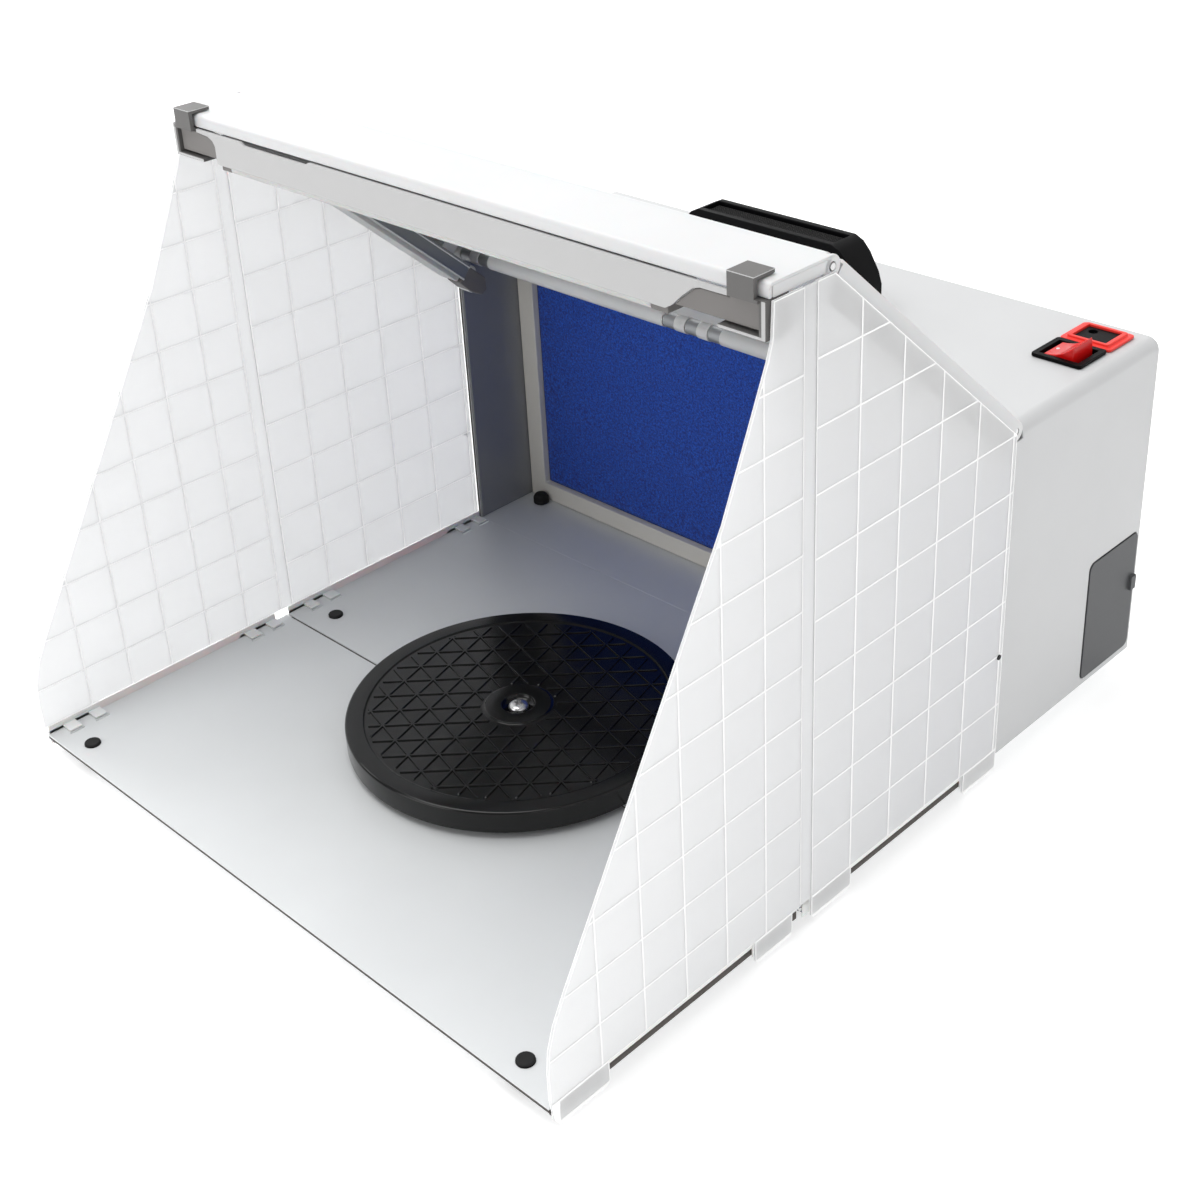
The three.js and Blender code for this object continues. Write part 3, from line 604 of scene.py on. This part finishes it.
def cell(end, u0, u1, v0, v1):
    """One pane of the grid, cut to the screen's outline, counter-clockwise."""
    box = [(u0, v0), (u1, v0), (u1, v1), (u0, v1)]
    if end == "rear":
        return clip(box, inset([(REAR_FOLD, SHEET_FOOT), (REAR_END, SHEET_FOOT), *REAR_TOP], BORDER))
    v0, v1 = max(v0, SHEET_FOOT + BORDER), min(v1, FLAT_TOP - BORDER)
    u1 = min(u1, FRONT_FOLD - BORDER)
    if v1 - v0 < 1 or u1 - u0 < 1:
        return []
    steps = 24
    levels = [v0 + (v1 - v0) * k / steps for k in range(steps + 1)]
    left = [(max(u0, leading_edge(v) + BORDER * 1.15), v) for v in levels]
    kept = [p for p in left if p[0] < u1 - 0.3]
    if len(kept) < 2:
        return []
    thin = [kept[0]]
    for before, here, after in zip(kept, kept[1:], kept[2:]):
        turn = (here[0] - before[0]) * (after[1] - here[1]) - (here[1] - before[1]) * (after[0] - here[0])
        if abs(turn) > 1e-6:
            thin.append(here)
    thin.append(kept[-1])
    return [(u1, thin[0][1]), (u1, thin[-1][1])] + thin[::-1]


SHEET_X = (235.85, 237.1)
RIB_X = (237.12, 237.35)
LINE_X = (235.65, 235.83)
WEBS = {"rear": [(-185.4, -145), (-35, -1)], "front": [(-378, -340), (-228, -197)]}
TABS = {"rear": [(-179.6, -145.6), (-34.4, -1.2)], "front": [(-374.5, -340.6), (-227.4, -197.6)]}


def panes(end, half):
    """The openings of a screen's grid, between lines of the given half width."""
    us = [-400] + sorted(COLUMNS[end]) + [20]
    vs = [-40] + sorted(ROWS[end]) + [420]
    found = [[(a, -8.8), (b, -8.8), (b, SHEET_FOOT - 0.7), (a, SHEET_FOOT - 0.7)]
             for a, b in TABS[end]]
    for u0, u1 in zip(us, us[1:]):
        for v0, v1 in zip(vs, vs[1:]):
            shape = cell(end, u0 + half, u1 - half, v0 + half, v1 - half)
            shape = [p for p, q in zip(shape, shape[1:] + shape[:1]) if math.dist(p, q) > 0.05]
            if len(shape) > 2 and abs(area(shape)) > 2:
                found.append(shape)
    return found


for side, s in (("left", -1), ("right", 1)):
    at = lambda u, v, w, s=s: P(s * w, u, v)
    for end, outline in (("rear", REAR), ("front", FRONT)):
        body = f"{end}_screen_{side}"
        lattices = [[outline] + [c[::-1] for c in panes(end, half)] for half in (0.5, 0.22)]
        piece(f"screen_{end}_{side}_sheet", plate([outline], at, *SHEET_X), body, "sheet",
              (f"screen_{end}_{side}",), bevel=0.25, limit=50)
        piece(f"screen_{end}_{side}_ribs", plate(lattices[0], at, *RIB_X), body, "rib",
              bevel=0.08, segments=1, limit=50)
        piece(f"screen_{end}_{side}_lines", plate(lattices[1], at, *LINE_X), body, "line", smooth=False)
        bm = bmesh.new()
        webs = WEBS[end]
        block(bm, s * 234.3, s * 235, webs[0][0], webs[1][1], -1, 5)
        for y0, y1 in webs:
            block(bm, s * 234.3, s * 235, y0, y1, -8, 1.8)
        for y0, y1 in TONGUES[end]:
            block(bm, s * 225, s * 234.8, y0, y1, 0.4, 1.6)
        clips = f"clips_{end}_{side}"
        piece(f"{clips}_moulding", bm, body_of(clips), "clip", (clips,), bevel=0.3, limit=40)
    y0, y1 = FRONT_FOLD + 0.25, REAR_FOLD - 0.25
    bm = plate([[(y0, SHEET_FOOT), (y1, SHEET_FOOT), (y1, FLAT_TOP), (y0, FLAT_TOP)]], at, *SHEET_X)
    piece(f"fold_strip_{side}", bm, f"rear_screen_{side}", "sheet", bevel=0.2, limit=40)
    bm = plate([ring(-4.5, 73.4, 1.7, 20)], at, 237.36, 238)
    piece(f"screen_stud_{side}", bm, f"rear_screen_{side}", "rubber", bevel=0.3, limit=40)
    bm = block(bmesh.new(), *sorted((s * 234.1, s * 235.25)), -0.5, -0.05, -8, 212)
    piece(f"seam_shadow_gap_{side}", bm, "fan_box", "edge")
    lip = lambda u, v, w, s=s: S(s * u, v, w)
    edge_at = lambda u, v, w, s=s: S(s * w, u, v)
    lip_outline = [(-223, -LIP), (-12, -LIP), (-9, -LIP + 3), (-9, -1.9), (-223, -1.9)]
    bm = plate([lip_outline], edge_at, 234.9, 235.35)
    piece(f"roof_side_lip_{side}", bm, "rear_roof", "roof")
    # painted highlight: thin pale strips along the side lamp's edges stand for light glinting on them
    bm = block(bmesh.new(), 204.2, 204.7, -178, -12.4, -21.9, -20.7, lip)
    block(bm, 227.3, 227.8, -178, -12.4, -21.9, -20.7, lip)
    block(bm, 204.3, 204.7, -178, -12.4, -12.4, -11.6, lip)
    piece(f"side_lamp_painted_highlight_{side}", bm, f"side_lamp_{side}", "trim")
    bm = block(bmesh.new(), 208.6, 221.4, -0.5, 4.5, -25.4, -17, lip)
    knob = Matrix.Translation(S(s * 214.5, -1.5, -12.5))
    bmesh.ops.create_icosphere(bm, subdivisions=3, radius=0.0048, matrix=knob)
    piece(f"side_lamp_knob_{side}", bm, f"side_lamp_{side}", "trim", bevel=0.5, limit=50)


# ---------------------------------------------------------------- handle and switch
refine("carry_handle", "black", 2.6, segments=5, limit=25)


def frustum(bm, low, high):
    """Joins two four-point outlines, the lower and the upper, into a closed stud."""
    bm.faces.new(high)
    bm.faces.new(low[::-1])
    for k in range(4):
        bm.faces.new([low[k], low[(k + 1) % 4], high[(k + 1) % 4], high[k]])


def grip():
    """The handle's rubber pad with its small studs."""
    bm = bmesh.new()
    block(bm, -54.6, 54.6, 68.4, 83.6, 266, 268)
    step = 1.9
    for i in range(60):
        for j in range(8):
            x, y = -53.6 + step * i + 0.5, 68.8 + step * j
            if x + step > 54.2 or y + step > 83.4:
                continue
            corner = lambda a, b, z: bm.verts.new(P(x + a, y + b, z))
            square = lambda d, z: [corner(d, d, z), corner(step - d, d, z),
                                   corner(step - d, step - d, z), corner(d, step - d, z)]
            base = square(0.15, 268)
            top = square(0.5, 268.8)
            frustum(bm, base, top)
    return piece("handle_grip_pad", bm, "fan_box", "rubber", ("handle_grip",), smooth=False)


grip()
refine("switch_rocker", "rocker", 0.7, segments=3, limit=25)
on_rocker = lambda u, v, w: P(u, v, w + 224.28 + 0.02 * (u - 196.6))
bm = plate([rounded(196.6, 203.2, 103.4, 105.4, 0.6)], on_rocker, -0.3, 0.18)
piece("rocker_mark", bm, "power_rocker", "label", ())


# ---------------------------------------------------------------- turntable
TX, TY = -5, -173
bm = lathe([
    (4.4, 8), (14, 8), (14, 15.4), (106.4, 15.4), (106.4, 4.6), (106.8, 4.4), (109.6, 4.4), (110, 4.8),
    (110, 17.2), (109.7, 18.1), (109, 18.7), (108, 19), (98.8, 19), (98.2, 18.4), (97.4, 18.3),
    (96.9, 18.15), (23.4, 18.15), (22.4, 18.3), (21.6, 18.4), (21.1, 19.2), (20.6, 19.5), (11, 19.5),
    (10.2, 19.2), (9.8, 16.4), (4.4, 16.2), (4.4, 8),
], TX, TY, 128)
piece("turntable_disc_moulding", bm, "turntable", "table", ("turntable_disc",))


def lattice_ribs():
    """Triangular anti-slip ribs between the hub and the ring."""
    pitch, half, foot = 16.3, 0.85, 18
    crest = half - 0.3
    bm = bmesh.new()
    for angle in (45, 105, 165):
        a = math.radians(angle)
        dx, dy = math.cos(a), math.sin(a)
        for k in range(-6, 7):
            d = k * pitch
            if abs(d) > 93:
                continue
            reach = math.sqrt(95.5 ** 2 - d * d)
            inner = math.sqrt(24 ** 2 - d * d) if abs(d) < 24 else 0
            spans = [(-reach, -inner), (inner, reach)] if inner else [(-reach, reach)]
            for t0, t1 in spans:
                cx, cy = TX - dy * d, TY + dx * d
                corner = lambda t, o, z: bm.verts.new(P(cx + dx * t - dy * o, cy + dy * t + dx * o, z))
                strip = lambda a, b, o, z: [corner(a, -o, z), corner(b, -o, z), corner(b, o, z),
                                            corner(a, o, z)]
                low = strip(t0, t1, half, foot)
                lift = 18.92 + 0.004 * (angle / 15)
                frustum(bm, low, strip(t0 + 0.6, t1 - 0.6, crest, lift))
    return piece("turntable_ribs", bm, "turntable", "table", (), bevel=0.12, segments=1, limit=20)


lattice_ribs()


def screw():
    """The turntable's pan-head screw with a cross recess."""
    bm = lathe([
        (0, 8.4), (3.7, 8.4), (3.7, 16.5), (6.4, 16.5), (6.6, 17), (6.2, 18.2), (5.2, 19.2), (3.6, 19.8),
        (1.8, 20.1), (0, 20.2),
    ], TX, TY, 64)
    head = piece("turntable_screw_head", bm, "turntable", "steel", ("turntable_screw",))
    bm = bmesh.new()
    for a in (0.4, 0.4 + math.pi / 2):
        c, d = math.cos(a), math.sin(a)
        at = lambda u, v, w, c=c, d=d: P(TX + c * u - d * v, TY + d * u + c * v, w)
        plate([[(-3.2, -0.7), (3.2, -0.7), (3.2, 0.7), (-3.2, 0.7)]], at, 18.2, 22, bm)
    mesh = bpy.data.meshes.new("cross")
    bm.to_mesh(mesh)
    bm.free()
    tool = bpy.data.objects.new("cross", mesh)
    scene.collection.objects.link(tool)
    mod = head.modifiers.new("recess", "BOOLEAN")
    mod.object = tool
    mod.solver = "EXACT"
    mod.use_self = True
    bpy.context.view_layer.update()
    result = bpy.data.meshes.new_from_object(head.evaluated_get(bpy.context.evaluated_depsgraph_get()))
    head.modifiers.clear()
    head.data = result
    bpy.data.objects.remove(tool)
    return head


screw()


# ---------------------------------------------------------------- stage
def stage():
    """A pale floor that curves up into the background."""
    mesh = bpy.data.meshes.new("floor_sweep")
    bm = bmesh.new()
    turn = [math.pi / 2 * i / 12 for i in range(1, 13)]
    curve = [(1.6 + 0.9 * math.sin(a), 0.9 - 0.9 * math.cos(a)) for a in turn]
    rows = [(-6, 0), (1.6, 0)] + curve + [(2.5, 6)]
    made = [[bm.verts.new((x, y, z)) for x in (-8, 8)] for y, z in rows]
    for (a, b), (c, d) in zip(made, made[1:]):
        bm.faces.new([a, b, d, c])
    bm.to_mesh(mesh)
    bm.free()
    for polygon in mesh.polygons:
        polygon.use_smooth = True
    sweep = bpy.data.objects.new("floor_sweep", mesh)
    scene.collection.objects.link(sweep)
    mesh.materials.append(finish_of("studio_floor", (0.9, 0.9, 0.9), 0.8, bump=0, vary=0.0,
                                    Emission_Color=(1, 1, 1, 1), Emission_Strength=0.36))
    sweep.location.z = -0.0004
    sweep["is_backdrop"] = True


def light(name, place, aim, size, power):
    """A rectangular soft light at place, turned towards aim."""
    data = bpy.data.lights.new(name, "AREA")
    data.shape = "RECTANGLE"
    data.size, data.size_y = size
    data.energy = power
    lamp = bpy.data.objects.new(name, data)
    lamp.location = place
    lamp.rotation_euler = (Vector(aim) - Vector(place)).to_track_quat("-Z", "Y").to_euler()
    scene.collection.objects.link(lamp)


stage()
light("top_softbox", (-0.35, -0.15, 1.9), (0, 0, 0), (1.8, 1.6), 25)
light("right_softbox", (1.9, -0.7, 0.9), (0.2, -0.1, 0.1), (1.4, 1.1), 4.5)
light("front_softbox", (-0.5, -1.9, 0.9), (0, 0.1, 0.12), (1.2, 0.9), 8)
light("left_softbox", (-1.7, 0.0, 1.0), (0, -0.05, 0.1), (1.4, 1.1), 12)
world = bpy.data.worlds.new("world")
world.use_nodes = True
world.node_tree.nodes["Background"].inputs["Color"].default_value = (1, 1, 1, 1)
world.node_tree.nodes["Background"].inputs["Strength"].default_value = 0.3
scene.world = world
scene.view_settings.view_transform = "Standard"
scene.view_settings.exposure = 0.2

visual_box = [list(corner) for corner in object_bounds()]
